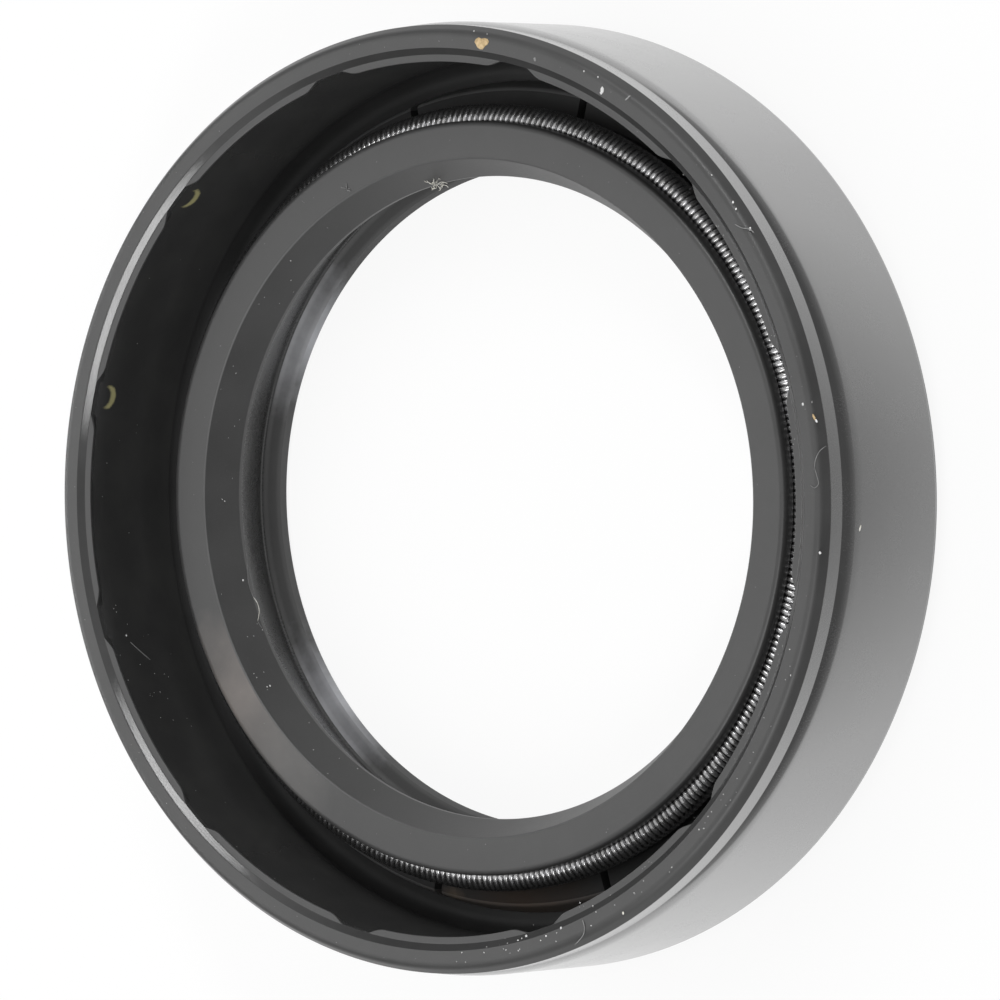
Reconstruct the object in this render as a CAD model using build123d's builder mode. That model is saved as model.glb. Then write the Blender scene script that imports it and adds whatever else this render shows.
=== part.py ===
from build123d import *
import math
import os

# Rubber-covered radial shaft seal with a spring-loaded sealing lip and a dust lip.
# Millimetres. The axis is +Z. The back face, on the air side, lies on Z = 0, and the
# mouth on the oil side, where the garter spring shows, opens upwards.

# --- Sizes of the seal as a whole ---
shaft_diameter = 32.0
housing_bore = 45.0
width = 10.0

# --- Outside of the rubber skin ---
skin_thickness = 0.8
rear_chamfer_height = 0.97
rear_chamfer_depth = 0.7
front_chamfer_height = 0.51
front_chamfer_depth = 0.32
pilot_length = 0.96
pilot_drop = 0.18
lead_in_length = 0.82

# --- Mouth: a step down to a ledge that a ring of notches interrupts ---
step_width = 0.32
step_depth = 0.23
ledge_overhang = 0.33
ledge_edge_height = 0.1
ledge_root_height = 0.56
notch_count = 12
notch_first_angle = 15.0
notch_base_width = 1.54
notch_mouth_width = 3.0
notch_corner_radius = 0.6

# --- Case insert: a deep-drawn steel angle ring ---
case_thickness = 0.8
case_bend_radius = 0.8
case_end_cover = 0.17
back_cover = 1.6

# --- Rubber lining on the floor of the spring cavity, with slots down to the flange ---
lining_thickness = 1.25
lining_wall_gap = 1.1
slot_width = 0.42

# --- Shares of the room between the shaft and the case wall ---
flange_bore_share = 0.449
lip_head_share = 0.3776

# --- Shares of the width of the floor lining ---
lining_draft_share = 0.2375
lining_crest_share = 0.478
slot_land_share = 0.125
valley_share = 0.2766

# --- Garter spring, and the groove that holds it ---
spring_stand_out = 0.07
spring_coil_diameter = 1.5
spring_offset = 0.39
spring_clearance = 0.02

# --- Sealing lip ---
lip_overlap = 0.76
lip_edge_height = 4.83
lip_edge_width = 0.2
lip_face_clearance = 0.03
lip_face_cover = 0.73
lip_corner_radius = 0.27
air_side_angle = 25.0
membrane_thickness = 1.2
waist_drop = 0.93
groove_rear_drop = 0.15
groove_rear_height = 0.13
root_fillet_share = 0.75

# --- Dust lip ---
dust_overlap = 0.19
dust_tip_height = 0.37
dust_root_height = 1.0
dust_bevel_depth = 0.21
dust_bevel_height = 0.34
dust_heel_depth = 1.09
dust_fillet_radius = 0.3

# --- Radii and heights that follow from the sizes above ---
shaft_radius = shaft_diameter / 2
outer_radius = housing_bore / 2
pilot_radius = outer_radius - pilot_drop
case_outer_radius = outer_radius - skin_thickness
case_inner_radius = case_outer_radius - case_thickness
lip_room = case_inner_radius - shaft_radius
ledge_radius = case_inner_radius - ledge_overhang
ledge_height = width - step_depth
case_end_height = ledge_height - case_end_cover
ledge_root = ledge_height - ledge_root_height
pilot_end_height = width - front_chamfer_height
lead_in_top = pilot_end_height - pilot_length
lead_in_bottom = lead_in_top - lead_in_length

flange_top = back_cover + case_thickness
flange_middle = back_cover + case_thickness / 2
flange_bore_radius = shaft_radius + flange_bore_share * lip_room
bend_outer_radius = case_bend_radius + case_thickness
bend_start = case_inner_radius - case_bend_radius
lining_top = flange_top + lining_thickness
lining_foot_radius = case_inner_radius - lining_wall_gap
lining_width = lining_foot_radius - flange_bore_radius
lining_edge_radius = lining_foot_radius - lining_draft_share * lining_width
slot_start = flange_bore_radius + slot_land_share * lining_width

contact_radius = shaft_radius - lip_overlap
lip_face_inner_radius = shaft_radius + lip_face_clearance
lip_head_radius = shaft_radius + lip_head_share * lip_room
lip_edge_bottom = lip_edge_height - lip_edge_width / 2
lip_edge_top = lip_edge_height + lip_edge_width / 2
air_side_slope = math.tan(math.radians(air_side_angle))
membrane_width = membrane_thickness / math.cos(math.radians(air_side_angle))
dust_tip_radius = shaft_radius - dust_overlap

spring_radius = lip_head_radius + spring_stand_out
spring_height = lip_edge_height + spring_offset
coil_radius = spring_coil_diameter / 2
lip_face_height = spring_height + coil_radius + lip_face_cover
waist_height = lip_edge_height - waist_drop
groove_radius = coil_radius + spring_clearance


def air_side_radius(height):
    """Radius of the cone behind the sealing edge, at a height above the back face."""
    return contact_radius + (lip_edge_bottom - height) * air_side_slope


def groove_half_width(radius):
    """Half the height of the spring groove where it crosses the given radius."""
    return math.sqrt(groove_radius**2 - (spring_radius - radius) ** 2)


# --- Corners of the section, as radius and height ---
groove_rear_radius = lip_head_radius - groove_rear_drop
groove_front = (lip_head_radius, spring_height + groove_half_width(lip_head_radius))
groove_rear = (groove_rear_radius, spring_height - groove_half_width(groove_rear_radius))
groove_deepest = (spring_radius - groove_radius, spring_height)
rear_lip_foot = (groove_rear_radius, groove_rear[1] - groove_rear_height)
waist = (air_side_radius(waist_height) + membrane_width, waist_height)
valley_depth = valley_share * (lining_edge_radius - air_side_radius(lining_top) - membrane_width)
valley_radius = air_side_radius(lining_top - valley_depth) + membrane_width
membrane_root = (valley_radius, lining_top - valley_depth)
lining_crest_radius = valley_radius + lining_crest_share * (lining_edge_radius - valley_radius)
root_rise = min(valley_depth, waist_height - membrane_root[1])
root_fillet_radius = root_fillet_share * root_rise
lip_corner = (lip_head_radius, lip_face_height)
dust_root = (air_side_radius(dust_root_height), dust_root_height)
dust_shoulder = (dust_tip_radius + dust_bevel_depth, dust_tip_height + dust_bevel_height)
dust_tip = (dust_tip_radius, dust_tip_height)
dust_heel = (dust_tip_radius + dust_heel_depth, 0)

# --- Case insert ---
with BuildPart() as case_insert:
    with BuildSketch(Plane.XZ):
        with BuildLine():
            Polyline(
                (bend_start, flange_top),
                (flange_bore_radius, flange_top),
                (flange_bore_radius, back_cover),
                (bend_start, back_cover),
            )
            JernArc((bend_start, back_cover), (1, 0), bend_outer_radius, 90)
            Polyline(
                (case_outer_radius, back_cover + bend_outer_radius),
                (case_outer_radius, case_end_height),
                (case_inner_radius, case_end_height),
                (case_inner_radius, flange_top + case_bend_radius),
            )
            JernArc((case_inner_radius, flange_top + case_bend_radius), (0, -1), case_bend_radius, -90)
        make_face()
    revolve(axis=Axis.Z)

# --- Garter spring: the closed ring that its coils fill ---
with BuildPart() as garter_spring:
    with BuildSketch(Plane.XZ):
        with Locations((spring_radius, spring_height)):
            Circle(coil_radius)
    revolve(axis=Axis.Z)

# --- Notch through the ledge, which ends flush with the bare wall of the case ---
with BuildSketch() as notch:
    with BuildLine():
        base_edge = math.sqrt(case_inner_radius**2 - (notch_base_width / 2) ** 2)
        mouth_edge = math.sqrt(ledge_radius**2 - (notch_mouth_width / 2) ** 2)
        Polyline(
            (base_edge, -notch_base_width / 2),
            (mouth_edge, -notch_mouth_width / 2),
            (mouth_edge - ledge_overhang, 0),
            (mouth_edge, notch_mouth_width / 2),
            (base_edge, notch_base_width / 2),
        )
        ThreePointArc(
            (base_edge, notch_base_width / 2),
            (case_inner_radius, 0),
            (base_edge, -notch_base_width / 2),
        )
    make_face()

# --- Rubber body: skin, rim, ledge, back, floor lining, sealing lip and dust lip in one ---
with BuildPart() as rubber_body:
    with BuildSketch(Plane.XZ) as section:
        with BuildLine():
            # Outside, from the back face up to the rim.
            Polyline(
                dust_heel,
                (outer_radius - rear_chamfer_depth, 0),
                (outer_radius, rear_chamfer_height),
                (outer_radius, lead_in_bottom),
            )
            TangentArc((outer_radius, lead_in_bottom), (pilot_radius, lead_in_top), tangent=(0, 1))
            # Rim, step and ledge, then down to where the ledge leaves the case wall.
            Polyline(
                (pilot_radius, lead_in_top),
                (pilot_radius, pilot_end_height),
                (pilot_radius - front_chamfer_depth, width),
                (case_inner_radius + step_width, width),
                (case_inner_radius, ledge_height),
                (ledge_radius, ledge_height),
                (ledge_radius, ledge_height - ledge_edge_height),
                (case_inner_radius, ledge_root),
            )
            # Round the case insert, which the rubber is bonded to.
            Polyline(
                (case_inner_radius, ledge_root),
                (case_inner_radius, case_end_height),
                (case_outer_radius, case_end_height),
                (case_outer_radius, back_cover + bend_outer_radius),
            )
            JernArc((case_outer_radius, back_cover + bend_outer_radius), (0, -1), bend_outer_radius, -90)
            Polyline(
                (bend_start, back_cover),
                (flange_bore_radius, back_cover),
                (flange_bore_radius, flange_top),
                (lining_foot_radius, flange_top),
            )
            # Floor lining, valley, membrane and the rear wall of the spring groove.
            Polyline(
                (lining_foot_radius, flange_top),
                (lining_edge_radius, lining_top),
                (lining_crest_radius, lining_top),
                membrane_root,
                waist,
                rear_lip_foot,
                groove_rear,
            )
            ThreePointArc(groove_rear, groove_deepest, groove_front)
            # Lip head, sealing edge, air side cone and dust lip.
            Polyline(
                groove_front,
                lip_corner,
                (lip_face_inner_radius, lip_face_height),
                (contact_radius, lip_edge_top),
                (contact_radius, lip_edge_bottom),
                dust_root,
                dust_shoulder,
                dust_tip,
                dust_heel,
            )
        make_face()
        fillet(section.vertices().sort_by_distance(lip_corner)[0], lip_corner_radius)
        fillet(section.vertices().sort_by_distance(membrane_root)[0], root_fillet_radius)
        fillet(section.vertices().sort_by_distance(dust_root)[0], dust_fillet_radius)
    revolve(axis=Axis.Z)

    # Notches through the ledge, with eased corners.
    with BuildSketch(Plane.XY.offset(lip_face_height).rotated((0, 0, notch_first_angle))) as mouth:
        Circle(ledge_radius)
        with PolarLocations(0, notch_count):
            add(notch.sketch)
        fillet(mouth.vertices(), notch_corner_radius)
    extrude(amount=width - lip_face_height, mode=Mode.SUBTRACT)

    # Slots through the floor lining, in line with the notches.
    with BuildSketch(Plane.XY.offset(flange_middle)):
        with PolarLocations((slot_start + bend_start) / 2, notch_count, notch_first_angle):
            Rectangle(bend_start - slot_start, slot_width)
    extrude(amount=spring_height - flange_middle, mode=Mode.SUBTRACT)

os.makedirs("parts", exist_ok=True)
case_insert.part.label = "case_insert"
garter_spring.part.label = "garter_spring"
rubber_body.part.label = "rubber_body"
export_step(case_insert.part, "parts/case_insert.step")
export_step(garter_spring.part, "parts/garter_spring.step")
export_step(rubber_body.part, "parts/rubber_body.step")
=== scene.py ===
"""Radial shaft seal: moulded rubber over a steel case, with its garter spring, on a pale table.

Every size below is in millimetres and every mesh is written in metres, in the frame of the
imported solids: the back face lies on Z = 0 and the open mouth looks up along +Z.
"""
import logging
import math
import random
from dataclasses import dataclass, field
from enum import Enum
from typing import Callable, Iterable, Sequence

import bmesh
import bpy
import numpy as np
from mathutils import Matrix, Vector


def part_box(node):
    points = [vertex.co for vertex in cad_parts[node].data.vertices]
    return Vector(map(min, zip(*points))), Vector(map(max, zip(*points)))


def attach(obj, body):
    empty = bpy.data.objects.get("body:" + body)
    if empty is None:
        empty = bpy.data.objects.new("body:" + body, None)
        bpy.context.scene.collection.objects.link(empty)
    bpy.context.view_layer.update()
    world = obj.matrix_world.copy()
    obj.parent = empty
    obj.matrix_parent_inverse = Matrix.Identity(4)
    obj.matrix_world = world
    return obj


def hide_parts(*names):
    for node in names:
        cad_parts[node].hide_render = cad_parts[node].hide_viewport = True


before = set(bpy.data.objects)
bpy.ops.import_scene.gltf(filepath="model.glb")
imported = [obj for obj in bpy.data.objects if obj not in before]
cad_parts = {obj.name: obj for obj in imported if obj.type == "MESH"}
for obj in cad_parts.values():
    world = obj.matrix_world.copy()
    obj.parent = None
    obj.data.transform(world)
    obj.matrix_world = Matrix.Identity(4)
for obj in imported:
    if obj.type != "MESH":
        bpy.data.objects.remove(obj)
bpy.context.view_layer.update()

MM = 0.001
Point = tuple[float, float]
Span = tuple[float, float]
Place = tuple[float, float, float]
Direction = tuple[float, float, float]
Colour = tuple[float, float, float, float]
log = logging.getLogger("shaft_seal")


# --------------------------------------------------------------------------------------
# Sizes
# --------------------------------------------------------------------------------------
@dataclass(frozen=True)
class PackedSolid:
    """How far a solid of the frame reaches from the axis, and its lowest and highest points."""

    radius: float
    bottom: float
    top: float

    @classmethod
    def measured(cls, node: str) -> "PackedSolid":
        """Measures the solid of that name, to the nearest hundredth of a millimetre."""
        low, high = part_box(node)
        return cls(*(round(size / MM, 2) for size in (high[0], low[2], high[2])))


@dataclass(frozen=True)
class SealSizes:
    """Radii and heights of the seal that more than one piece needs."""

    width: float
    outer_radius: float
    case_outer_radius: float
    case_end_height: float
    flange_bottom: float
    coil_radius: float
    spring_radius: float
    spring_height: float
    case_thickness: float = 0.8
    case_bend_radius: float = 0.8
    flange_bore_radius: float = 18.2
    notch_count: int = 12
    notch_first_angle: float = 15.0

    @classmethod
    def from_frame(cls) -> "SealSizes":
        """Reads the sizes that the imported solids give.

        Returns:
            The sizes.
        """
        body = PackedSolid.measured("rubber_body")
        case = PackedSolid.measured("case_insert")
        spring = PackedSolid.measured("garter_spring")
        coil_radius = (spring.top - spring.bottom) / 2
        return cls(body.top, body.radius, case.radius, case.top, case.bottom, coil_radius,
                   spring.radius - coil_radius, spring.bottom + coil_radius)

    @property
    def case_inner_radius(self) -> float:
        """Radius of the case wall inside the mouth."""
        return self.case_outer_radius - self.case_thickness

    @property
    def flange_top(self) -> float:
        """Height of the flange's upper face."""
        return self.flange_bottom + self.case_thickness

    def notch_angles(self) -> list[float]:
        """Middle angle of every ledge notch, in degrees."""
        pitch = 360.0 / self.notch_count
        return [self.notch_first_angle + pitch * index for index in range(self.notch_count)]

    def from_nearest_notch(self, angle: float) -> float:
        """Signed angle from the middle of the nearest notch, in degrees."""
        pitch = 360.0 / self.notch_count
        return (angle - self.notch_first_angle + pitch / 2) % pitch - pitch / 2


# --------------------------------------------------------------------------------------
# Mesh building
# --------------------------------------------------------------------------------------
class Face(Enum):
    """Faces of the rubber and of the case that have a finish of their own."""

    MOULDED = 0
    LAND = 1
    RIM = 2
    STEP = 3
    LIP_FACE = 4
    LIP_CONE = 5
    AIR_SIDE = 6
    LINING = 7
    BEND = 8
    LINING_SIDE = 9
    DUST_LIP = 10
    FLANGE = 11
    DUST_TIP = 12
    TRIM = 13
    CHAMFER = 14


class Dirt(Enum):
    """Kinds of loose dirt that lie on the seal."""

    GRIT = 0
    TAN = 1
    LINT = 2
    FILM = 3


@dataclass(frozen=True)
class Corner:
    """One corner of a section, the radius that it is eased to, and the face that follows it."""

    radius: float
    height: float
    easing: float = 0.0
    face: Face = Face.MOULDED


@dataclass(frozen=True)
class Outline:
    """A closed section, and the face on which each of its runs lies."""

    points: list[Point]
    faces: list[Face]


@dataclass(frozen=True)
class SectionPen:
    """Draws a closed section from its corners, always with the same number of points.

    An eased corner takes at most room_share of the shorter run beside it. A supporting point
    on each side keeps the shading of the flat runs clean.
    """

    steps: int = 3
    support: float = 0.05
    room_share: float = 0.42
    support_share: float = 0.3

    def draw(self, corners: Sequence[Corner]) -> Outline:
        """Turns corners into outline points.

        Args:
            corners: the corners in order round the section.

        Returns:
            The outline, with one face for each run between two points.
        """
        points: list[Point] = []
        faces: list[Face] = []
        count = len(corners)
        for index, corner in enumerate(corners):
            before = corners[index - 1]
            if corner.easing <= 0:
                points.append((corner.radius, corner.height))
                faces.append(corner.face)
                continue
            bow = self._eased(before, corner, corners[(index + 1) % count])
            points += bow
            half = (len(bow) + 1) // 2
            faces += [before.face] * half + [corner.face] * (len(bow) - half)
        return Outline(points, faces)

    def _eased(self, before: Corner, corner: Corner, after: Corner) -> list[Point]:
        """Rounds one corner and adds a supporting point on each side of it.

        Args:
            before: the corner in front of this one.
            corner: the corner to round.
            after: the corner that follows it.

        Returns:
            The points that replace the corner.
        """
        here = np.array((corner.radius, corner.height))
        back = np.array((before.radius, before.height)) - here
        ahead = np.array((after.radius, after.height)) - here
        back_length, ahead_length = np.linalg.norm(back), np.linalg.norm(ahead)
        back, ahead = back / back_length, ahead / ahead_length
        turn = math.pi - math.acos(float(np.clip(back @ ahead, -1.0, 1.0)))
        room = self.room_share * min(back_length, ahead_length)
        reach = min(corner.easing * math.tan(turn / 2), room)
        support = min(self.support, self.support_share * room) + reach
        start, end = here + back * reach, here + ahead * reach
        points = [here + back * support]
        for step in range(self.steps + 1):
            share = step / self.steps
            points.append((1 - share) ** 2 * start + 2 * share * (1 - share) * here
                          + share**2 * end)
        points.append(here + ahead * support)
        return [(float(radius), float(height)) for radius, height in points]


@dataclass(frozen=True)
class RingMesh:
    """Sweeps a section round the axis; the section may change with the angle."""

    name: str
    angles: Sequence[float]
    section: Callable[[float], Outline]
    sharp_above: float = 50.0

    def build(self, finishes: dict[Face, bpy.types.Material]) -> bpy.types.Object:
        """Makes the closed ring and gives each of its faces a finish.

        Args:
            finishes: the material of each face.

        Returns:
            The new object, linked to the scene.
        """
        outlines = [self.section(angle) for angle in self.angles]
        columns = np.array([outline.points for outline in outlines])
        turn = np.radians(np.array(self.angles))[:, None]
        x = columns[:, :, 0] * np.cos(turn)
        y = columns[:, :, 0] * np.sin(turn)
        vertices = np.stack((x, y, columns[:, :, 1]), axis=-1).reshape(-1, 3) * MM
        rows = columns.shape[1]
        mesh = bpy.data.meshes.new(self.name)
        mesh.from_pydata(vertices.tolist(), [], grid_faces(len(columns), rows))
        order = list(finishes)
        for face in order:
            mesh.materials.append(finishes[face])
        slots = [order.index(face) for face in outlines[0].faces]
        mesh.polygons.foreach_set("material_index", slots * len(columns))
        return finish_mesh(mesh, self.name, self.sharp_above)


def grid_faces(columns: int, rows: int, closed_columns: bool = True) -> list[tuple[int, ...]]:
    """Quads of a grid whose rows close on themselves.

    Args:
        columns: number of columns, each one section.
        rows: number of points in each section.
        closed_columns: whether the last column joins the first.

    Returns:
        The faces as vertex indices.
    """
    last = columns if closed_columns else columns - 1
    faces = []
    for column in range(last):
        left, right = column * rows, (column + 1) % columns * rows
        for row in range(rows):
            above = (row + 1) % rows
            faces.append((left + row, right + row, right + above, left + above))
    return faces


def skin_faces(rings: int, sides: int) -> list[tuple[int, ...]]:
    """Faces of a closed skin over a run of rings, all facing out.

    Args:
        rings: number of rings, each anticlockwise as seen from the end of the run.
        sides: number of points in each ring.

    Returns:
        The faces as vertex indices.
    """
    # Turned round about its first corner, so that each face keeps its diagonal.
    faces = [(face[0], *face[:0:-1]) for face in grid_faces(rings, sides, closed_columns=False)]
    faces.append(tuple(range(sides))[::-1])
    faces.append(tuple(range((rings - 1) * sides, rings * sides)))
    return faces


def finish_mesh(mesh: bpy.types.Mesh, name: str, sharp_above: float) -> bpy.types.Object:
    """Cleans a mesh, shades it smooth except at sharp edges, and links it.

    Args:
        mesh: the mesh to finish.
        name: the name of the new object.
        sharp_above: edges that turn more than this many degrees stay sharp.

    Returns:
        The new object.
    """
    mesh.validate()
    mesh.polygons.foreach_set("use_smooth", [True] * len(mesh.polygons))
    mesh.set_sharp_from_angle(angle=math.radians(sharp_above))
    mesh.update()
    made = bpy.data.objects.new(name, mesh)
    bpy.context.scene.collection.objects.link(made)
    return made


def tube_grid(path: np.ndarray, radii: np.ndarray, sides: int,
              askew: Direction = (0.31, 0.22, 0.93)) -> tuple[np.ndarray, list[tuple[int, ...]]]:
    """Works out a round tube along a path, with capped ends.

    Args:
        path: points of the centre line, in millimetres.
        radii: radius of the tube at each point, in millimetres.
        sides: number of sides.
        askew: a direction that the path never runs along, which the sides are set out from.

    Returns:
        The points in millimetres and the faces as indices into them.
    """
    along = np.gradient(path, axis=0)
    along /= np.linalg.norm(along, axis=1)[:, None]
    side = np.cross(along, np.array(askew))
    side /= np.linalg.norm(side, axis=1)[:, None]
    other = np.cross(along, side)
    turn = np.linspace(0, 2 * math.pi, sides, endpoint=False)
    rings = (path[:, None, :]
             + radii[:, None, None] * (np.cos(turn)[None, :, None] * side[:, None, :]
                                       + np.sin(turn)[None, :, None] * other[:, None, :]))
    return rings.reshape(-1, 3), skin_faces(len(path), sides)


@dataclass
class MeshHeap:
    """Gathers many small closed shapes into one mesh, each with its own finish."""

    points: list[tuple[float, ...]] = field(default_factory=list)
    faces: list[tuple[int, ...]] = field(default_factory=list)
    kinds: list[int] = field(default_factory=list)
    sharp_above: float = 60.0

    def add(self, points: np.ndarray, faces: Iterable[Sequence[int]], kind: int) -> None:
        """Adds one shape.

        Args:
            points: its points, in millimetres.
            faces: its faces, as indices into its points.
            kind: index of its finish.
        """
        first = len(self.points)
        self.points += [tuple(point) for point in np.asarray(points).tolist()]
        for face in faces:
            self.faces.append(tuple(first + index for index in face))
            self.kinds.append(kind)

    def build(self, name: str, materials: Sequence[bpy.types.Material]) -> bpy.types.Object:
        """Makes the mesh.

        Args:
            name: name of the new object.
            materials: the finishes, in the order that the kinds count them.

        Returns:
            The new object.
        """
        mesh = bpy.data.meshes.new(name)
        mesh.from_pydata((np.array(self.points) * MM).tolist(), [], self.faces)
        for material in materials:
            mesh.materials.append(material)
        mesh.polygons.foreach_set("material_index", self.kinds)
        return finish_mesh(mesh, name, self.sharp_above)


# --------------------------------------------------------------------------------------
# Finishes
# --------------------------------------------------------------------------------------
# The values that nearly all of a noise lies between.
NOISE_RANGE: Span = (0.3, 0.7)


@dataclass(frozen=True)
class Noise:
    """How fine a noise is, how many finer layers it has, and how strong they are."""

    scale: float
    detail: float = 3.0
    roughness: float = 0.6


class NodeBench:
    """Short ways to lay out the nodes of one material, or of the surroundings.

    The colour inputs and output are the places of a Mix node's colour sockets.
    """

    colour_inputs: tuple[int, int] = (6, 7)
    colour_output: int = 2

    def __init__(self, owner: bpy.types.Material | bpy.types.World) -> None:
        """Clears the nodes of a material or world.

        Args:
            owner: the material or world that the nodes belong to.
        """
        owner.use_nodes = True
        self.owner = owner
        self.tree = owner.node_tree
        self.tree.nodes.clear()

    @classmethod
    def material(cls, name: str) -> "NodeBench":
        """A bench for a new material."""
        return cls(bpy.data.materials.new(name))

    def node(self, kind: str, **settings: object) -> bpy.types.Node:
        """Adds a node and sets its properties.

        Args:
            kind: Blender's name for the node type.
            settings: properties of the node and their values.

        Returns:
            The new node.
        """
        made = self.tree.nodes.new(kind)
        for key, value in settings.items():
            setattr(made, key, value)
        return made

    def feed(self, socket: bpy.types.NodeSocket, value: object) -> None:
        """Links a socket to another, or sets its plain value.

        Args:
            socket: the socket that takes the value.
            value: another socket, or a plain value.
        """
        if isinstance(value, bpy.types.NodeSocket):
            self.tree.links.new(value, socket)
        else:
            socket.default_value = value

    def maths(self, operation: str, *values: object, clamp: bool = False) -> bpy.types.NodeSocket:
        """Works out one sum.

        Args:
            operation: the node's operation.
            values: numbers or sockets that go in.
            clamp: whether the result is kept between 0 and 1.

        Returns:
            The result.
        """
        made = self.node("ShaderNodeMath", operation=operation, use_clamp=clamp)
        for index, value in enumerate(values):
            self.feed(made.inputs[index], value)
        return made.outputs[0]

    def coordinates(self) -> tuple[bpy.types.NodeSocket, ...]:
        """Object coordinates in millimetres.

        Returns:
            The position, the radius, the angle in radians and the height.
        """
        scaled = self.node("ShaderNodeVectorMath", operation="SCALE")
        self.feed(scaled.inputs[0], self.node("ShaderNodeTexCoord").outputs["Object"])
        self.feed(scaled.inputs["Scale"], 1.0 / MM)
        x, y, z = self.split(scaled.outputs[0])
        squares = self.maths("ADD", self.maths("MULTIPLY", x, x), self.maths("MULTIPLY", y, y))
        return scaled.outputs[0], self.maths("SQRT", squares), self.maths("ARCTAN2", y, x), z

    def split(self, vector: bpy.types.NodeSocket) -> tuple[bpy.types.NodeSocket, ...]:
        """Parts a vector into its three values.

        Args:
            vector: the vector.

        Returns:
            Its x, y and z.
        """
        made = self.node("ShaderNodeSeparateXYZ")
        self.feed(made.inputs[0], vector)
        return tuple(made.outputs)

    def vector(self, *values: object) -> bpy.types.NodeSocket:
        """Joins three values into a vector.

        Args:
            values: its x, y and z.

        Returns:
            The vector.
        """
        made = self.node("ShaderNodeCombineXYZ")
        for index, value in enumerate(values):
            self.feed(made.inputs[index], value)
        return made.outputs[0]

    def distance(self, place: bpy.types.NodeSocket, centre: Place) -> bpy.types.NodeSocket:
        """Measures how far a place is from a fixed point.

        Args:
            place: the place.
            centre: the fixed point.

        Returns:
            The distance.
        """
        made = self.node("ShaderNodeVectorMath", operation="DISTANCE")
        self.feed(made.inputs[0], place)
        self.feed(made.inputs[1], centre)
        return made.outputs["Value"]

    def noise(self, place: bpy.types.NodeSocket, noise: Noise) -> bpy.types.NodeSocket:
        """Adds a noise texture.

        Args:
            place: where the texture is read.
            noise: how fine and how rough it is.

        Returns:
            The noise, from 0 to 1.
        """
        made = self.node("ShaderNodeTexNoise")
        self.feed(made.inputs["Vector"], place)
        self.feed(made.inputs["Scale"], noise.scale)
        self.feed(made.inputs["Detail"], noise.detail)
        self.feed(made.inputs["Roughness"], noise.roughness)
        return made.outputs[0]

    def spread(self, value: bpy.types.NodeSocket, low: float, high: float, to_low: float = 0.0,
               to_high: object = 1.0, smooth: bool = False) -> bpy.types.NodeSocket:
        """Maps a range of values onto another, with clamped ends.

        Args:
            value: the value to map.
            low: the value that becomes to_low.
            high: the value that becomes to_high.
            to_low: one end of the result.
            to_high: the other end of the result, as a number or a socket.
            smooth: whether both ends are eased.

        Returns:
            The mapped value.
        """
        made = self.node("ShaderNodeMapRange", clamp=True,
                         interpolation_type="SMOOTHSTEP" if smooth else "LINEAR")
        for index, number in enumerate((value, low, high, to_low, to_high)):
            self.feed(made.inputs[index], number)
        return made.outputs[0]

    def curve(self, value: bpy.types.NodeSocket, points: Sequence[Point]) -> bpy.types.NodeSocket:
        """Reads a value off a curve.

        Args:
            value: the value to look up.
            points: points of the curve, with both coordinates from 0 to 1.

        Returns:
            The height of the curve at the value.
        """
        made = self.node("ShaderNodeFloatCurve")
        line = made.mapping.curves[0]
        for _ in range(len(points) - 2):
            line.points.new(0.5, 0.5)
        for knot, place in zip(line.points, points):
            knot.location = place
        made.mapping.update()
        self.feed(made.inputs["Value"], value)
        return made.outputs[0]

    def blend(self, share: object, first: object, second: object) -> bpy.types.NodeSocket:
        """Mixes two colours.

        Args:
            share: how much of the second colour shows.
            first: the first colour.
            second: the second colour.

        Returns:
            The mixed colour.
        """
        made = self.node("ShaderNodeMix", data_type="RGBA")
        self.feed(made.inputs["Factor"], share)
        for index, colour in zip(self.colour_inputs, (first, second)):
            self.feed(made.inputs[index], colour)
        return made.outputs[self.colour_output]

    def bump(self, height: bpy.types.NodeSocket, strength: float, depth: float,
             below: bpy.types.NodeSocket | None = None) -> bpy.types.NodeSocket:
        """Raises a relief from a height.

        Args:
            height: the height, from 0 to 1.
            strength: share of the relief that shows.
            depth: depth of the relief in millimetres.
            below: another relief that this one lies on.

        Returns:
            The bumped normal.
        """
        made = self.node("ShaderNodeBump")
        self.feed(made.inputs["Strength"], strength)
        self.feed(made.inputs["Distance"], depth * MM)
        self.feed(made.inputs["Height"], height)
        if below is not None:
            self.feed(made.inputs["Normal"], below)
        return made.outputs[0]

    def surface(self, **inputs: object) -> bpy.types.Material:
        """Closes the material with one principled surface.

        Args:
            inputs: values of its sockets, with underscores for spaces.

        Returns:
            The finished material.
        """
        shader = self.node("ShaderNodeBsdfPrincipled")
        for key, value in inputs.items():
            self.feed(shader.inputs[key.replace("_", " ")], value)
        output = self.node("ShaderNodeOutputMaterial")
        self.feed(output.inputs["Surface"], shader.outputs[0])
        return self.owner


@dataclass(frozen=True)
class StainAndLightPatch:
    """A patch that lies on a surface: film, dust or deposit, and in some uses painted light or
    painted reflection.

    It is whole up to the inner share of its spread and then fades out over a ragged edge.
    """

    centre: Place
    reach: float
    colour: Colour
    strength: float
    inner: float = 0.3
    lobes: float = 2.5
    detail: float = 4.0
    raggedness: float = 0.9
    overreach: float = 1.45

    def share(self, bench: NodeBench, place: bpy.types.NodeSocket) -> bpy.types.NodeSocket:
        """How much of the patch shows.

        Args:
            bench: the bench that the material is laid out on.
            place: position on the surface, in millimetres.

        Returns:
            The share, from 0 to the stain's strength.
        """
        edge = bench.noise(place, Noise(self.lobes / self.reach, self.detail))
        ragged = bench.maths("MULTIPLY", edge, self.raggedness * self.reach)
        away = bench.maths("ADD", bench.distance(place, self.centre), ragged)
        spread = self.overreach * self.reach
        return bench.spread(away, self.inner * spread, spread, self.strength, 0.0)


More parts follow.
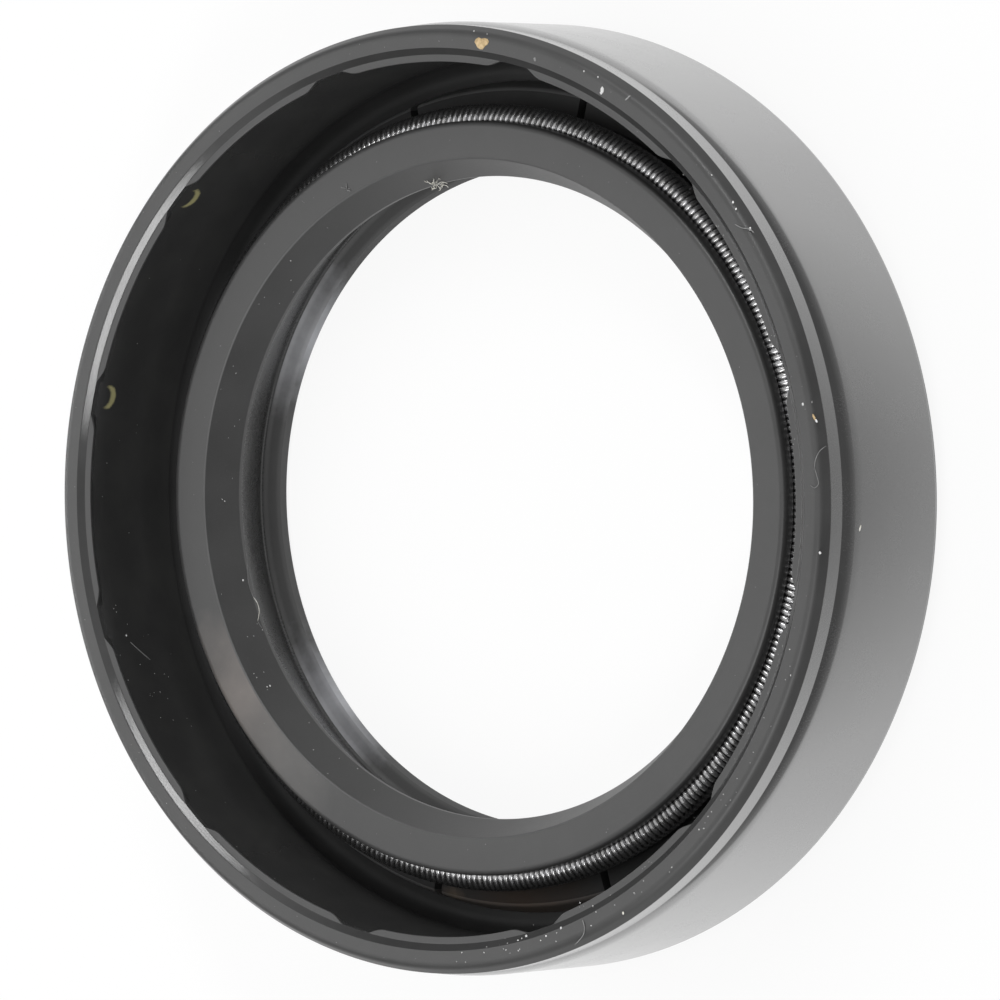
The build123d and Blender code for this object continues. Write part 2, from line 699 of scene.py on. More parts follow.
@dataclass(frozen=True)
class MouldedRubber:
    """Black nitrile rubber as one face of the mould, or the trimming knife, leaves it, with
    painted light, highlight or reflection in the colour of some faces.
    """

    name: str
    deep: float = 0.038
    bloom: float = 0.048
    roughness: float = 0.40
    ior: float = 1.6
    coat: tuple[Point, ...] = ()
    coat_ior: float = 1.5
    lines_per_mm: float = 8.0
    line_depth: float = 0.002
    grain_depth: float = 0.002
    mist: float = 0.0
    stains_and_light: tuple[StainAndLightPatch, ...] = ()
    cloud: Noise = Noise(0.35, 4.0)
    grain: Noise = Noise(12.0)
    flow: Noise = Noise(1.0, roughness=0.65)
    flow_round_axis: float = 1.5
    cloud_roughness: float = 0.03
    grain_roughness: Span = (-0.02, 0.04)
    mist_range: Span = (0.60, 0.74)
    mist_grey: float = 0.5

    def material(self) -> bpy.types.Material:
        """Builds the material.

        Returns:
            The finished material.
        """
        bench = NodeBench.material(self.name)
        place, radius, angle, height = bench.coordinates()
        cloud = bench.noise(place, self.cloud)
        grain = bench.noise(place, self.grain)
        along = bench.vector(bench.maths("MULTIPLY", radius, self.lines_per_mm),
                             bench.maths("MULTIPLY", angle, self.flow_round_axis),
                             bench.maths("MULTIPLY", height, self.lines_per_mm))
        lines = bench.noise(along, self.flow)
        tint = bench.blend(bench.spread(cloud, *NOISE_RANGE), grey(self.deep), grey(self.bloom))
        smoother, rougher = (self.roughness + sign * self.cloud_roughness for sign in (-1, 1))
        roughness = bench.maths("ADD", bench.spread(cloud, *NOISE_RANGE, smoother, rougher),
                                bench.spread(grain, *NOISE_RANGE, *self.grain_roughness))
        if self.mist > 0:
            flecks = bench.spread(grain, *self.mist_range, 0.0, self.mist)
            tint = bench.blend(flecks, tint, grey(self.mist_grey))
        for tint_patch in self.stains_and_light:
            tint = bench.blend(tint_patch.share(bench, place), tint, tint_patch.colour)
        coat: object = 0.0
        if self.coat:
            coat = bench.curve(bench.node("ShaderNodeLayerWeight").outputs["Facing"], self.coat)
        relief = bench.bump(lines, 1.0, self.line_depth)
        relief = bench.bump(grain, 1.0, self.grain_depth, relief)
        return bench.surface(Base_Color=tint, Roughness=roughness, IOR=self.ior,
                             Coat_Weight=coat, Coat_IOR=self.coat_ior,
                             Coat_Roughness=self.roughness, Normal=relief, Coat_Normal=relief)


def grey(level: float) -> Colour:
    """A neutral grey of the given reflectance."""
    return (level, level, level, 1.0)


# Films and dust on the rubber, and patches of painted light and painted reflection, by place in
# millimetres.
LIP_FILM = StainAndLightPatch((-8.9, 14.2, 6.7), 4.4, (0.17, 0.15, 0.138, 1.0), 0.8)
LIP_DUST = StainAndLightPatch((-12.4, 11.6, 6.7), 4.0, (0.13, 0.125, 0.12, 1.0), 0.6)
FLOOR_DEPOSIT = StainAndLightPatch((-19.02, 4.1, 3.5), 0.75, (0.23, 0.18, 0.13, 1.0), 0.7)
FLOOR_FILM = StainAndLightPatch((-19.4, 0.3, 3.65), 5.0, (0.085, 0.062, 0.048, 1.0), 0.8)
# Brownish film on the lining's draft face, made pale enough to be painted light on that shaded
# face as well.
EDGE_FILM_AND_PAINTED_LIGHT = StainAndLightPatch((-19.6, 0.3, 3.2), 6.0, (0.21, 0.16, 0.13, 1.0), 0.9)
# Painted reflection: pale bluish patches on the dust lip and its tip stand for the pale table
# mirrored there.
DUST_LIP_PAINTED_REFLECTION = (StainAndLightPatch((-9.8, 13.0, 0.9), 4.4, (0.42, 0.425, 0.45, 1.0), 0.9),
                 StainAndLightPatch((8.3, 14.0, 0.9), 4.4, (0.42, 0.425, 0.445, 1.0), 0.9))
DUST_TIP_PAINTED_REFLECTION = (StainAndLightPatch((-9.8, 13.0, 0.5), 4.2, (0.60, 0.61, 0.64, 1.0), 0.9),
                 StainAndLightPatch((8.3, 14.0, 0.5), 3.8, (0.52, 0.53, 0.56, 1.0), 0.9))
# Weight of the gloss coat, from a surface seen straight on, at 0, to one seen edge-on, at 1.
LAND_COAT = ((0.0, 0.10), (0.412, 0.13), (0.432, 0.32), (0.491, 0.66), (0.584, 0.78),
             (0.706, 0.97), (0.848, 1.0), (1.0, 1.0))
EDGE_COAT = ((0.0, 0.0), (0.6, 0.0), (0.7, 0.25), (0.82, 0.5), (1.0, 1.0))

RUBBER_FINISHES: dict[Face, MouldedRubber] = {
    Face.MOULDED: MouldedRubber("rubber_as_moulded"),
    Face.LAND: MouldedRubber("rubber_outer_land", roughness=0.24, coat=LAND_COAT,
                             coat_ior=4.0, lines_per_mm=5.0, line_depth=0.0006,
                             grain_depth=0.001),
    Face.RIM: MouldedRubber("rubber_rim", deep=0.042, bloom=0.053, roughness=0.43,
                            coat=EDGE_COAT, mist=0.05, grain_depth=0.003),
    Face.CHAMFER: MouldedRubber("rubber_front_chamfer", roughness=0.46, coat=EDGE_COAT,
                                line_depth=0.001, grain_depth=0.001),
    Face.STEP: MouldedRubber("rubber_polished_step", roughness=0.11, line_depth=0.0006,
                             grain_depth=0.0006),
    Face.LIP_FACE: MouldedRubber("rubber_trimmed_lip", line_depth=0.003,
                                 stains_and_light=(LIP_FILM, LIP_DUST)),
    Face.LIP_CONE: MouldedRubber("rubber_lip_cone", roughness=0.45, mist=0.04),
    Face.AIR_SIDE: MouldedRubber("rubber_air_side", deep=0.044, bloom=0.052, roughness=0.27,
                                 lines_per_mm=14.0, line_depth=0.0015, grain_depth=0.0008),
    # The dust lip's and the dust tip's lighter colours are painted reflection of the pale table.
    Face.DUST_LIP: MouldedRubber("rubber_dust_lip", deep=0.056, bloom=0.066, roughness=0.6,
                                 lines_per_mm=14.0, line_depth=0.0015, stains_and_light=DUST_LIP_PAINTED_REFLECTION),
    Face.DUST_TIP: MouldedRubber("rubber_dust_tip", deep=0.085, bloom=0.10, roughness=0.6,
                                 lines_per_mm=14.0, line_depth=0.0015, stains_and_light=DUST_TIP_PAINTED_REFLECTION),
    # The trimmed chamfer's lighter colour is a painted highlight along the lip face's inner
    # corner.
    Face.TRIM: MouldedRubber("rubber_trimmed_edge_painted_highlight", deep=0.075, bloom=0.09, roughness=0.55),
    Face.LINING: MouldedRubber("rubber_floor_lining", deep=0.054, bloom=0.067, roughness=0.75,
                               ior=1.25, stains_and_light=(FLOOR_FILM, FLOOR_DEPOSIT)),
    # The lining's draft face is lighter than the lining top: painted light on a face that lies in
    # shade.
    Face.LINING_SIDE: MouldedRubber("rubber_lining_edge_painted_light", deep=0.12, bloom=0.15, roughness=0.6,
                                    stains_and_light=(EDGE_FILM_AND_PAINTED_LIGHT, FLOOR_DEPOSIT)),
}


@dataclass(frozen=True)
class BondCoat:
    """Glossy black bonding coat on the steel case, rubbed through by two of the mould's pins."""

    name: str = "black_bond_coat"
    coat: Colour = (0.046, 0.046, 0.046, 1.0)
    thin_coat: Colour = (0.056, 0.056, 0.055, 1.0)
    bare: Colour = (0.46, 0.43, 0.22, 1.0)
    gloss: Span = (0.14, 0.24)
    ior: float = 1.5
    rubbed: tuple[Place, ...] = ((14.80, 14.76, 8.35), (5.43, 20.18, 8.30))
    flow: Noise = Noise(0.4, roughness=0.5)
    flow_depth: float = 0.01
    thin_range: Span = (0.35, 0.7)
    specks: Noise = Noise(9.0, 2.0, 0.5)
    speck_range: Span = (0.3, 0.8)
    rub_edge: Noise = Noise(5.0)
    rub_raggedness: float = 0.16
    rub_rises: Span = (0.32, 0.68)
    rub_within: Span = (0.58, 0.70)
    rub_beyond: Span = (0.56, 0.70)

    def material(self) -> bpy.types.Material:
        """Builds the material.

        Returns:
            The finished material.
        """
        bench = NodeBench.material(self.name)
        place, _, _, _ = bench.coordinates()
        flow = bench.noise(place, self.flow)
        tint = bench.blend(bench.spread(flow, *self.thin_range), self.coat, self.thin_coat)
        for centre in self.rubbed:
            tint = bench.blend(self.crescent(bench, place, centre), tint, self.bare)
        specks = bench.noise(place, self.specks)
        roughness = bench.spread(specks, *self.speck_range, *self.gloss)
        relief = bench.bump(flow, 1.0, self.flow_depth)
        return bench.surface(Base_Color=tint, Roughness=roughness, IOR=self.ior, Normal=relief)

    def crescent(self, bench: NodeBench, place: bpy.types.NodeSocket,
                 centre: Place) -> bpy.types.NodeSocket:
        """Where one pin has rubbed the coat through: within one circle and beyond a higher one.

        Args:
            bench: the bench that the material is laid out on.
            place: position on the surface, in millimetres.
            centre: the place of the mark, in millimetres.

        Returns:
            The share of bare metal, from 0 to 1.
        """
        ragged = bench.maths("MULTIPLY", bench.noise(place, self.rub_edge), self.rub_raggedness)
        lower, upper = (
            bench.maths("ADD", bench.distance(place, (*centre[:2], centre[2] + rise)), ragged)
            for rise in self.rub_rises)
        return bench.maths("MULTIPLY", bench.spread(lower, *self.rub_within, 1.0, 0.0),
                           bench.spread(upper, *self.rub_beyond))


# The bend's darker coat is painted shade in the crease between the case wall and the flange.
BEND_COAT_PAINTED_SHADE = BondCoat("black_bond_coat_bend_painted_shade", (0.031, 0.031, 0.031, 1.0),
                     (0.037, 0.037, 0.037, 1.0), gloss=(0.45, 0.55), ior=1.38, rubbed=())
# The flange's pale grey coat is painted light: it shows only at the bottom of the lining's slots,
# which lie in shade.
FLANGE_COAT_PAINTED_LIGHT = BondCoat("bond_coat_flange_painted_light", (0.42, 0.42, 0.42, 1.0),
                       (0.50, 0.50, 0.50, 1.0), gloss=(0.55, 0.65), ior=1.4, rubbed=())


@dataclass(frozen=True)
class SpringWire:
    """Bright drawn steel wire."""

    name: str = "drawn_spring_wire"
    steel: Colour = (0.58, 0.58, 0.59, 1.0)
    dull: Colour = (0.36, 0.356, 0.35, 1.0)
    gloss: Span = (0.20, 0.30)
    drawn: Noise = Noise(3.0)
    dull_range: Span = (0.35, 0.7)
    scuffs: Noise = Noise(40.0, 1.0, 0.5)

    def material(self) -> bpy.types.Material:
        """Builds the material.

        Returns:
            The finished material.
        """
        bench = NodeBench.material(self.name)
        place, _, _, _ = bench.coordinates()
        drawn = bench.noise(place, self.drawn)
        tint = bench.blend(bench.spread(drawn, *self.dull_range), self.steel, self.dull)
        roughness = bench.spread(bench.noise(place, self.scuffs), *NOISE_RANGE, *self.gloss)
        return bench.surface(Base_Color=tint, Metallic=1.0, Roughness=roughness)


@dataclass(frozen=True)
class LooseFinish:
    """Grit, lint or dried film, dry and mottled."""

    name: str
    light: Colour
    dark: Colour
    roughness: float = 0.6
    roughness_drift: float = 0.08
    mottle: Noise = Noise(5.0)
    mottle_range: Span = (0.35, 0.65)
    crumbs: Noise = Noise(18.0, 2.0)
    crumb_depth: float = 0.006

    def material(self) -> bpy.types.Material:
        """Builds the material.

        Returns:
            The finished material.
        """
        bench = NodeBench.material(self.name)
        place, _, _, _ = bench.coordinates()
        mottle = bench.noise(place, self.mottle)
        tint = bench.blend(bench.spread(mottle, *self.mottle_range), self.dark, self.light)
        roughness = bench.spread(mottle, *NOISE_RANGE, self.roughness + self.roughness_drift,
                                 self.roughness - self.roughness_drift)
        relief = bench.bump(bench.noise(place, self.crumbs), 1.0, self.crumb_depth)
        return bench.surface(Base_Color=tint, Roughness=roughness, Normal=relief)


DIRT_FINISHES: dict[Dirt, LooseFinish] = {
    Dirt.GRIT: LooseFinish("pale_grit", (0.92, 0.92, 0.91, 1.0), (0.62, 0.62, 0.62, 1.0)),
    Dirt.TAN: LooseFinish("tan_chip", (0.66, 0.50, 0.28, 1.0), (0.42, 0.29, 0.14, 1.0)),
    Dirt.LINT: LooseFinish("white_lint", (0.90, 0.89, 0.84, 1.0), (0.70, 0.68, 0.60, 1.0)),
    Dirt.FILM: LooseFinish("grey_dust", (0.30, 0.30, 0.30, 1.0), (0.20, 0.20, 0.20, 1.0)),
}


# --------------------------------------------------------------------------------------
# Pieces of the seal
# --------------------------------------------------------------------------------------
@dataclass
class RubberBody:
    """Skin, rim, notched ledge, floor lining, sealing lip and dust lip, moulded in one.

    A field that ends in easing is the radius that a corner is eased to.
    """

    sizes: SealSizes
    finishes: dict[Face, MouldedRubber]
    node: str = "rubber_body"
    slot: str = "nitrile_rubber"
    column_pitch: float = 0.35
    columns_beside_notch: int = 15
    edge_gap: float = 0.03
    rear_chamfer: Point = (0.7, 0.97)
    rear_easing: Span = (0.25, 0.4)
    front_chamfer: Point = (0.32, 0.51)
    pilot_radius: float = 22.32
    pilot_bottom: float = 8.53
    pilot_easing: float = 0.05
    lead_in_bottom: float = 7.71
    lead_in_steps: int = 6
    land_support: float = 0.6
    step_outer_radius: float = 21.22
    step_easing: float = 0.025
    ledge_easing: float = 0.02
    ledge_stub: float = 0.006
    rim_easing: float = 0.40
    ledge_height: float = 9.77
    ledge_overhang: float = 0.33
    ledge_edge: float = 0.1
    ledge_root: float = 9.21
    notch_base: float = 1.56
    notch_mouth: float = 2.9
    notch_easing: Span = (0.06, 0.4)
    bond_lap: float = 0.015
    bond_steps: int = 5
    lining_foot: float = 19.8
    lining_edge: float = 19.42
    lining_easing: float = 0.35
    lining_crest: float = 18.35
    crest_easing: float = 0.05
    lining_top: float = 3.65
    slot_radius: float = 18.4
    slot_width: float = 0.42
    slot_draft: float = 0.02
    valley: Point = (17.37, 3.0)
    valley_easing: float = 0.49
    waist: Point = (16.95, 3.9)
    waist_easing: float = 0.3
    groove_radius: float = 0.77
    groove_steps: int = 12
    groove_rear: Point = (17.7, 4.35)
    groove_rear_easing: float = 0.06
    lip_head_radius: float = 17.85
    lip_face_height: float = 6.7
    lip_face_radius: float = 16.03
    lip_face_hollow: float = 0.04
    lip_corner_easing: float = 0.27
    trim_chamfer: Point = (0.07, 0.05)
    trim_easing: float = 0.02
    contact_radius: float = 15.24
    contact_top: float = 4.93
    contact_bottom: float = 4.73
    contact_easing: float = 0.05
    dust_root: Point = (16.98, 1.0)
    dust_root_easing: float = 0.55
    dust_shoulder: Point = (16.02, 0.71)
    dust_shoulder_easing: float = 0.85
    dust_tip: Point = (15.81, 0.37)
    dust_tip_easing: float = 0.04
    dust_heel: float = 16.9
    dust_heel_easing: float = 0.2
    pen: SectionPen = field(default_factory=SectionPen)

    def build(self) -> bpy.types.Object:
        """Moulds the body and dresses it.

        Returns:
            The finished piece.
        """
        dressing = {face: finish.material() for face, finish in self.finishes.items()}
        ring = RingMesh("rubber_body_moulding", self.column_angles(), self.section)
        return seat(ring.build(dressing), self.node)

    def column_angles(self) -> list[float]:
        """Angles of the columns: even all round, and closer at each notch and slot.

        Returns:
            The angles in degrees, in rising order.
        """
        beside = self.columns_beside_notch
        near = [index * self.column_pitch for index in range(-beside, beside + 1)]
        edges = (self.half_slot_angle(), self.half_base_angle())
        near += [sign * (edge + gap) for edge in edges for sign in (-1, 1)
                 for gap in (-self.edge_gap, self.edge_gap)]
        angles = {float(index) for index in range(360)}
        reach = self.column_pitch * beside
        for middle in self.sizes.notch_angles():
            angles = {angle for angle in angles if abs(angle - middle) > reach}
            angles |= {middle + offset for offset in near}
        return sorted(angles)

    def half_slot_angle(self) -> float:
        """Half the angle that one slot of the floor lining takes up, in degrees."""
        return math.degrees(self.slot_width / 2 / self.lining_edge)

    def half_base_angle(self) -> float:
        """Half the angle that the base of one notch takes up, in degrees."""
        return math.degrees(self.notch_base / 2 / self.sizes.case_inner_radius)

    def ledge_edge_radius(self, angle: float) -> float:
        """Radius of the ledge's inner edge, which falls back to the case in each notch.

        Args:
            angle: angle about the axis, in degrees.

        Returns:
            The radius in millimetres.
        """
        turn = abs(math.radians(self.sizes.from_nearest_notch(angle)))
        across = turn * self.sizes.case_inner_radius
        share = (across - self.notch_base / 2) / ((self.notch_mouth - self.notch_base) / 2)
        reach = self.ledge_overhang * soft_step(share, *self.notch_easing)
        return self.sizes.case_inner_radius - max(reach, self.ledge_stub)

    def section(self, angle: float) -> Outline:
        """Outline of the rubber at one angle.

        Args:
            angle: angle about the axis, in degrees.

        Returns:
            The outline.
        """
        in_slot = abs(self.sizes.from_nearest_notch(angle)) < self.half_slot_angle()
        floor = self.sizes.flange_top - self.bond_lap if in_slot else self.lining_top
        corners = self.outside() + self.mouth(self.ledge_edge_radius(angle))
        corners += self.bond() + self.floor_lining(floor) + self.lips()
        return self.pen.draw(corners)

    def outside(self) -> list[Corner]:
        """Corners of the back face, outer land, lead-in and pilot.

        Returns:
            The corners in order, from the rear chamfer up to the front one.
        """
        sizes = self.sizes
        drop = sizes.outer_radius - self.pilot_radius
        rise = self.pilot_bottom - self.lead_in_bottom
        bow = (drop**2 + rise**2) / (2 * drop)
        sweep = math.asin(rise / bow)
        corners = [
            Corner(sizes.outer_radius - self.rear_chamfer[0], 0.0, self.rear_easing[0]),
            Corner(sizes.outer_radius, self.rear_chamfer[1], self.rear_easing[1], Face.LAND),
            Corner(sizes.outer_radius, self.lead_in_bottom - self.land_support, 0.0, Face.LAND),
        ]
        for step in range(self.lead_in_steps):
            turn = sweep * step / self.lead_in_steps
            corners.append(Corner(sizes.outer_radius - bow * (1 - math.cos(turn)),
                                  self.lead_in_bottom + bow * math.sin(turn), 0.0, Face.LAND))
        corners.append(Corner(self.pilot_radius, self.pilot_bottom, self.pilot_easing, Face.LAND))
        corners.append(Corner(self.pilot_radius, sizes.width - self.front_chamfer[1],
                              self.pilot_easing, Face.CHAMFER))
        return corners

    def mouth(self, edge_radius: float) -> list[Corner]:
        """Corners of the rim, the step and the ledge.

        Args:
            edge_radius: radius of the ledge's inner edge at this angle.

        Returns:
            The corners in order, from the front chamfer inwards.
        """
        sizes = self.sizes
        share = (sizes.case_inner_radius - edge_radius) / self.ledge_overhang
        ledge_bottom = self.ledge_height - self.ledge_edge
        under = sizes.case_end_height + share * (ledge_bottom - sizes.case_end_height)
        return [
            Corner(self.pilot_radius - self.front_chamfer[0], sizes.width, self.rim_easing,
                   Face.RIM),
            Corner(self.step_outer_radius, sizes.width, self.step_easing, Face.STEP),
            Corner(sizes.case_inner_radius, self.ledge_height, self.step_easing),
            Corner(edge_radius, self.ledge_height, self.ledge_easing),
            Corner(edge_radius, under, self.ledge_easing),
            Corner(sizes.case_inner_radius + self.bond_lap, self.ledge_root),
        ]

    def bond(self) -> list[Corner]:
        """Corners that follow the steel case, a hair inside its surface.

        Returns:
            The corners in order, from the end of the case down and in to the lining's foot.
        """
        sizes, lap = self.sizes, self.bond_lap
        bend = sizes.case_bend_radius + sizes.case_outer_radius - sizes.case_inner_radius
        corners = [
            Corner(sizes.case_inner_radius + lap, sizes.case_end_height - lap),
            Corner(sizes.case_outer_radius - lap, sizes.case_end_height - lap),
        ]
        for step in range(self.bond_steps + 1):
            turn = math.pi / 2 * step / self.bond_steps
            corners.append(Corner(sizes.case_outer_radius - lap - bend * (1 - math.cos(turn)),
                                  sizes.flange_bottom + lap + bend * (1 - math.sin(turn))))
        corners.append(Corner(sizes.flange_bore_radius + lap, sizes.flange_bottom + lap))
        corners.append(Corner(sizes.flange_bore_radius + lap, sizes.flange_top - lap))
        corners.append(Corner(self.lining_foot, sizes.flange_top - lap, 0.0, Face.LINING_SIDE))
        return corners

    def floor_lining(self, floor: float) -> list[Corner]:
        """Corners of the lining on the flange and of the membrane's root.

        Args:
            floor: height of the lining at this angle, from the case wall to the slots' inner end.

        Returns:
            The corners in order, from the case wall inwards.
        """
        return [
            Corner(self.lining_edge, floor, self.lining_easing, Face.LINING),
            Corner(self.slot_radius + self.slot_draft, floor, 0.0, Face.LINING),
            Corner(self.slot_radius, self.lining_top, 0.0, Face.LINING),
            Corner(self.lining_crest, self.lining_top, self.crest_easing, Face.LINING),
            Corner(*self.valley, self.valley_easing),
            Corner(*self.waist, self.waist_easing),
            Corner(*self.groove_rear, self.groove_rear_easing),
        ]

    def lips(self) -> list[Corner]:
        """Corners of the spring groove, lip head, sealing edge and dust lip.

        Returns:
            The corners in order, from the groove's rear edge to the heel of the dust lip.
        """
        sizes = self.sizes
        corners = []
        rear = math.acos((self.groove_rear[0] - sizes.spring_radius) / self.groove_radius)
        front = math.acos((self.lip_head_radius - sizes.spring_radius) / self.groove_radius)
        for step in range(self.groove_steps + 1):
            turn = 2 * math.pi - rear + (rear + front - 2 * math.pi) * step / self.groove_steps
            corners.append(Corner(sizes.spring_radius + self.groove_radius * math.cos(turn),
                                  sizes.spring_height + self.groove_radius * math.sin(turn)))
        trimmed = self.lip_face_height - self.lip_face_hollow
        return corners + [
            Corner(self.lip_head_radius, self.lip_face_height, self.lip_corner_easing,
                   Face.LIP_FACE),
            Corner(self.lip_face_radius + self.trim_chamfer[0], trimmed, self.trim_easing,
                   Face.TRIM),
            Corner(self.lip_face_radius, trimmed - self.trim_chamfer[1], self.trim_easing,
                   Face.LIP_CONE),
            Corner(self.contact_radius, self.contact_top, self.contact_easing, Face.LIP_CONE),
            Corner(self.contact_radius, self.contact_bottom, self.contact_easing, Face.AIR_SIDE),
            Corner(*self.dust_root, self.dust_root_easing, Face.DUST_LIP),
            Corner(*self.dust_shoulder, self.dust_shoulder_easing, Face.DUST_TIP),
            Corner(*self.dust_tip, self.dust_tip_easing),
            Corner(self.dust_heel, 0.0, self.dust_heel_easing),
        ]


def soft_step(share: float, foot: float, top: float) -> float:
    """Rises from 0 to 1 in a straight line with eased ends.

    Args:
        share: where along the rise, from 0 to 1.
        foot: how far the lower end is eased.
        top: how far the upper end is eased.

    Returns:
        The eased value.
    """
    if share > 0.5:
        return 1.0 - soft_step(1.0 - share, top, foot)
    if share <= -foot:
        return 0.0
    if share >= foot:
        return share
    return (share + foot) ** 2 / (4 * foot)


@dataclass
class CaseInsert:
    """Deep-drawn steel angle ring, seen inside the mouth and through the notches."""

    sizes: SealSizes
    finish: BondCoat
    bend_finish: BondCoat
    flange_finish: BondCoat
    node: str = "case_insert"
    slot: str = "coated_steel"
    columns: int = 480
    bend_steps: int = 8
    bore_easing: float = 0.06
    end_easing: float = 0.05
    wall_support: float = 1.0
    lining_foot: float = 19.75
    pen: SectionPen = field(default_factory=SectionPen)

    def build(self) -> bpy.types.Object:
        """Draws the case and dresses it.

        Returns:
            The finished piece.
        """
        angles = [360.0 * index / self.columns for index in range(self.columns)]
        outline = self.outline()
        ring = RingMesh("case_angle_ring", angles, lambda _angle: outline)
        dressing = {Face.MOULDED: self.finish.material(), Face.BEND: self.bend_finish.material(),
                    Face.FLANGE: self.flange_finish.material()}
        return seat(ring.build(dressing), self.node)

    def outline(self) -> Outline:
        """Outline of the angle section, the same all round.

        Returns:
            The outline, from the flange's bore round the outside and back along the inside.
        """
        sizes = self.sizes
        inner, outer = sizes.case_inner_radius, sizes.case_outer_radius
        bend = sizes.case_bend_radius + outer - inner
        corners = [
            Corner(sizes.flange_bore_radius, sizes.flange_bottom, self.bore_easing),
            Corner(outer - bend, sizes.flange_bottom),
        ]
        for step in range(1, self.bend_steps):
            turn = math.pi / 2 * step / self.bend_steps
            corners.append(Corner(outer - bend * (1 - math.sin(turn)),
                                  sizes.flange_bottom + bend * (1 - math.cos(turn))))
        corners += [
            Corner(outer, sizes.flange_bottom + bend),
            Corner(outer, sizes.case_end_height, self.end_easing),
            Corner(inner, sizes.case_end_height, self.end_easing),
            Corner(inner, sizes.flange_top + sizes.case_bend_radius + self.wall_support),
        ]
        for step in range(self.bend_steps + 1):
            turn = math.pi / 2 * step / self.bend_steps
            corners.append(Corner(inner - sizes.case_bend_radius * (1 - math.cos(turn)),
                                  sizes.flange_top + sizes.case_bend_radius * (1 - math.sin(turn)),
                                  0.0, Face.BEND))
        corners.append(Corner(self.lining_foot, sizes.flange_top, 0.0, Face.FLANGE))
        corners.append(Corner(sizes.flange_bore_radius, sizes.flange_top, self.bore_easing))
        return self.pen.draw(corners)


@dataclass
class GarterSpring:
    """Close-wound spring ring, with the tapered end screwed into the other."""

    sizes: SealSizes
    finish: SpringWire
    node: str = "garter_spring"
    slot: str = "spring_steel"
    wire_radius: float = 0.15
    turns: int = 368
    steps_per_turn: int = 20
    sides: int = 8
    joint_angle: float = -94.0
    tail_turns: int = 7
    taper_turns: float = 2.0
    tail_radius: float = 0.28

    def build(self) -> bpy.types.Object:
        """Winds the spring and dresses it.

        Returns:
            The finished piece.
        """
        path = self.wire_path()
        heap = MeshHeap()
        heap.add(*tube_grid(path, np.full(len(path), self.wire_radius), self.sides), 0)
        piece = heap.build("garter_spring_coils", [self.finish.material()])
        return seat(piece, self.node)

    def wire_path(self) -> np.ndarray:
        """Centre line of the wire, with a tapered tail inside the first turns.

        Returns:
            The points of the line, in millimetres.
        """
        sizes = self.sizes
        count = (self.turns + self.tail_turns) * self.steps_per_turn
        turn = np.arange(count + 1) / self.steps_per_turn
        wound = sizes.coil_radius - self.wire_radius
        taper = np.clip((turn - self.turns) / self.taper_turns, 0.0, 1.0)
        coil = wound - taper * (wound - self.tail_radius)
        around = math.radians(self.joint_angle) + 2 * math.pi * turn / self.turns
        inside = 2 * math.pi * turn
        radius = sizes.spring_radius + coil * np.cos(inside)
        height = sizes.spring_height + coil * np.sin(inside)
        return np.stack((radius * np.cos(around), radius * np.sin(around), height), axis=-1)


def seat(piece: bpy.types.Object, node: str) -> bpy.types.Object:
    """Puts a piece in the place of a solid of the frame.

    Args:
        piece: the finished piece.
        node: the solid that it stands for.

    Returns:
        The same piece.
    """
    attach(piece, "root")
    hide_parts(node)
    return piece


# --------------------------------------------------------------------------------------
# Loose dirt
# --------------------------------------------------------------------------------------
@dataclass(frozen=True)
class Speck:
    """One grain: where it lies, its size, its long direction and the way its surface faces."""

    place: Place
    length: float
    width: float
    dirt: Dirt = Dirt.GRIT
    along: Direction = (1.0, 0.0, 0.0)
    facing: Direction = (0.0, 0.0, 1.0)


@dataclass(frozen=True)
class DustPatch:
    """Fine dust on a face that runs from start to end, with its open side on the left."""

    start: Point
    end: Point
    angles: Span
    count: int
    size: Span = (0.03, 0.06)
    dirt: Dirt = Dirt.GRIT
    stretch: Span = (1.0, 1.8)

    def specks(self, dice: random.Random) -> list[Speck]:
        """Strews the dust.

        Args:
            dice: source of chance.

        Returns:
            The grains.
        """
        rise, run = self.end[1] - self.start[1], self.end[0] - self.start[0]
        grains = []
        for _ in range(self.count):
            share, angle = dice.random(), math.radians(dice.uniform(*self.angles))
            size, out = dice.uniform(*self.size), (math.cos(angle), math.sin(angle))
            radius = self.start[0] + share * run
            grains.append(Speck(
                (radius * out[0], radius * out[1], self.start[1] + share * rise),
                size * dice.uniform(*self.stretch), size, self.dirt,
                (dice.uniform(-1, 1), dice.uniform(-1, 1), dice.uniform(-1, 1)),
                (-rise * out[0], -rise * out[1], run)))
        return grains


@dataclass(frozen=True)
class Hair:
    """One hair or scratch sliver that lies along a few points."""

    points: tuple[Place, ...]
    radius: float = 0.03
    dirt: Dirt = Dirt.LINT
    steps: int = 6

    def path(self) -> np.ndarray:
        """Rounds the run between the points with cubic pieces that pass through each of them.

        Returns:
            The centre line, in millimetres.
        """
        knots = np.array((self.points[0], *self.points, self.points[-1]))
        steps = np.linspace(0.0, 1.0, self.steps, endpoint=False)[:, None]
        line = []
        for index in range(1, len(knots) - 2):
            before, here, there, after = knots[index - 1:index + 3]
            line.append(0.5 * (2 * here + (there - before) * steps
                               + (2 * before - 5 * here + 4 * there - after) * steps**2
                               + (3 * here - before - 3 * there + after) * steps**3))
        return np.concatenate((*line, knots[-1:]))


